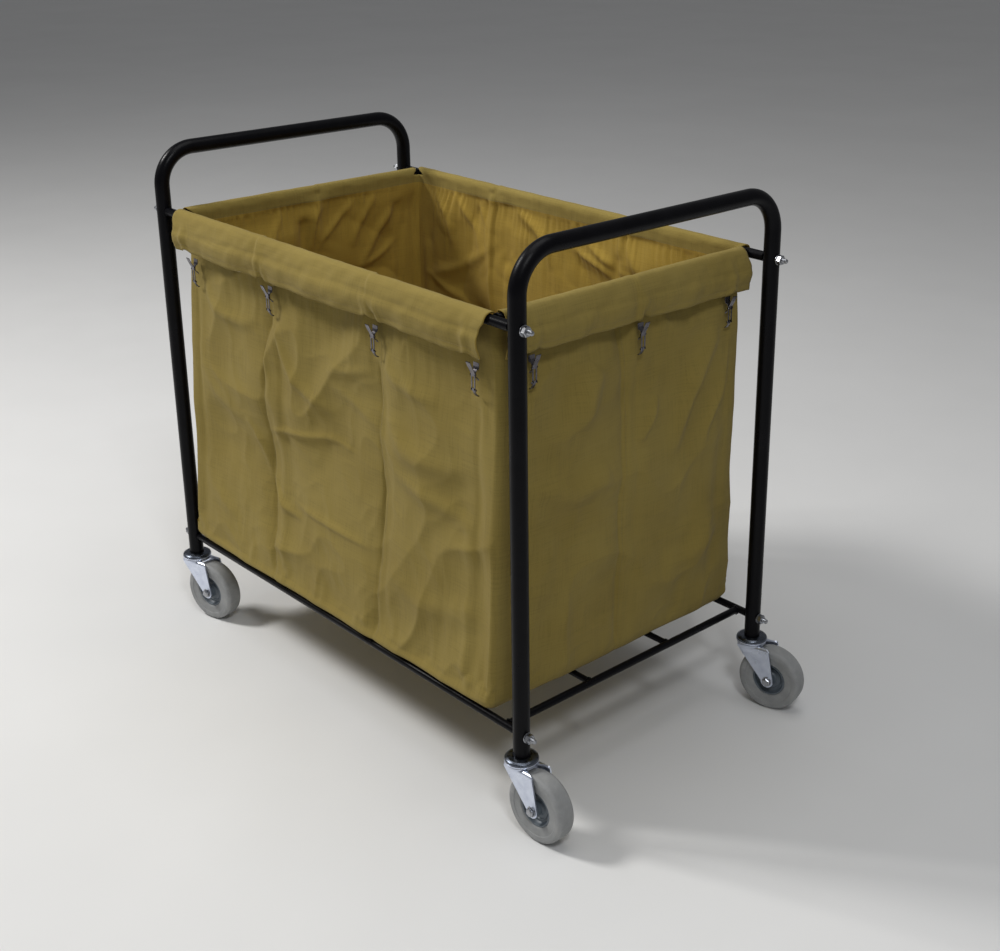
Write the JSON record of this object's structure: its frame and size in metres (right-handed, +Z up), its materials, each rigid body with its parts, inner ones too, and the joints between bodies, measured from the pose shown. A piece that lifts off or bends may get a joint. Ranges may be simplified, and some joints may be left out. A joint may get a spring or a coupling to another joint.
{
  "type": "housekeeping cart",
  "caption": "Open-topped linen cart: black tube end frames with push bars, a canvas bag clipped over a top rail ring, a low rack under it and swivel casters.",
  "frame": {"origin": "on the floor, under the middle of the cart's outline with its wheels trailing as built", "axes": "+X along the cart towards its front end frame, +Y to its left side, +Z up"},
  "size_m": [1.0187, 0.5692, 0.8705],
  "materials": {
    "black_coat": "semi-gloss black powder coat",
    "zinc_fork": "bright bluish zinc plate on pressed steel",
    "zinc_bolt": "zinc-plated hexagon fasteners",
    "dark_zinc": "dark swivel housing",
    "nickel_clip": "nickel-plated spring clips",
    "canvas": "olive-khaki cotton canvas",
    "tyre_grey": "matt light grey rubber",
    "hub_grey": "blue-grey moulded hub",
    "black_plug": "black moulded plug"
  },
  "bodies": {
    "cart": {"end_frame_front": "black_coat", "end_frame_rear": "black_coat", "top_side_rail_left": "black_coat", "rack_side_rail_left": "black_coat", "rack_rod_left": "black_coat", "top_side_rail_right": "black_coat", "rack_side_rail_right": "black_coat", "rack_rod_right": "black_coat", "top_cross_rail_front": "black_coat", "rack_cross_rail_front": "black_coat", "top_cross_rail_rear": "black_coat", "rack_cross_rail_rear": "black_coat", "top_bolt_front_right": "zinc_bolt", "rack_bolt_front_right": "zinc_bolt", "leg_insert_front_right": "black_plug", "caster_head_front_right": "dark_zinc", "top_bolt_front_left": "zinc_bolt", "rack_bolt_front_left": "zinc_bolt", "leg_insert_front_left": "black_plug", "caster_head_front_left": "dark_zinc", "top_bolt_rear_right": "zinc_bolt", "rack_bolt_rear_right": "zinc_bolt", "leg_insert_rear_right": "black_plug", "caster_head_rear_right": "dark_zinc", "top_bolt_rear_left": "zinc_bolt", "rack_bolt_rear_left": "zinc_bolt", "leg_insert_rear_left": "black_plug", "caster_head_rear_left": "dark_zinc", "bag": "canvas", "clip_left_1": "nickel_clip", "clip_right_1": "nickel_clip", "clip_left_2": "nickel_clip", "clip_right_2": "nickel_clip", "clip_left_3": "nickel_clip", "clip_right_3": "nickel_clip", "clip_left_4": "nickel_clip", "clip_right_4": "nickel_clip", "clip_front_1": "nickel_clip", "clip_rear_1": "nickel_clip", "clip_front_2": "nickel_clip", "clip_rear_2": "nickel_clip", "clip_front_3": "nickel_clip", "clip_rear_3": "nickel_clip"},
    "fork_front_right": {"caster_fork_front_right": "zinc_fork", "caster_axle_front_right": "zinc_bolt"},
    "wheel_front_right": {"caster_tyre_front_right": "tyre_grey", "caster_hub_front_right": "hub_grey"},
    "fork_front_left": {"caster_fork_front_left": "zinc_fork", "caster_axle_front_left": "zinc_bolt"},
    "wheel_front_left": {"caster_tyre_front_left": "tyre_grey", "caster_hub_front_left": "hub_grey"},
    "fork_rear_right": {"caster_fork_rear_right": "zinc_fork", "caster_axle_rear_right": "zinc_bolt"},
    "wheel_rear_right": {"caster_tyre_rear_right": "tyre_grey", "caster_hub_rear_right": "hub_grey"},
    "fork_rear_left": {"caster_fork_rear_left": "zinc_fork", "caster_axle_rear_left": "zinc_bolt"},
    "wheel_rear_left": {"caster_tyre_rear_left": "tyre_grey", "caster_hub_rear_left": "hub_grey"}
  },
  "joints": [
    {"name": "swivel_front_right", "type": "hinge", "parent": "cart", "child": "fork_front_right", "pos_m": [0.417, -0.2596, 0.1095], "axis": [0, 0, 1], "continuous": true},
    {"name": "roll_front_right", "type": "hinge", "parent": "fork_front_right", "child": "wheel_front_right", "pos_m": [0.45595, -0.25756, 0.053], "axis": [-0.0523, 0.9986, 0], "continuous": true},
    {"name": "swivel_front_left", "type": "hinge", "parent": "cart", "child": "fork_front_left", "pos_m": [0.417, 0.2474, 0.1095], "axis": [0, 0, 1], "continuous": true},
    {"name": "roll_front_left", "type": "hinge", "parent": "fork_front_left", "child": "wheel_front_left", "pos_m": [0.45467, 0.25749, 0.053], "axis": [-0.2588, 0.9659, 0], "continuous": true},
    {"name": "swivel_rear_right", "type": "hinge", "parent": "cart", "child": "fork_rear_right", "pos_m": [-0.479, -0.2596, 0.1095], "axis": [0, 0, 1], "continuous": true},
    {"name": "roll_rear_right", "type": "hinge", "parent": "fork_rear_right", "child": "wheel_rear_right", "pos_m": [-0.441, -0.25083, 0.053], "axis": [-0.225, 0.9744, 0], "continuous": true},
    {"name": "swivel_rear_left", "type": "hinge", "parent": "cart", "child": "fork_rear_left", "pos_m": [-0.479, 0.2474, 0.1095], "axis": [0, 0, 1], "continuous": true},
    {"name": "roll_rear_left", "type": "hinge", "parent": "fork_rear_left", "child": "wheel_rear_left", "pos_m": [-0.44048, 0.2535, 0.053], "axis": [-0.1564, 0.9877, 0], "continuous": true}
  ]
}
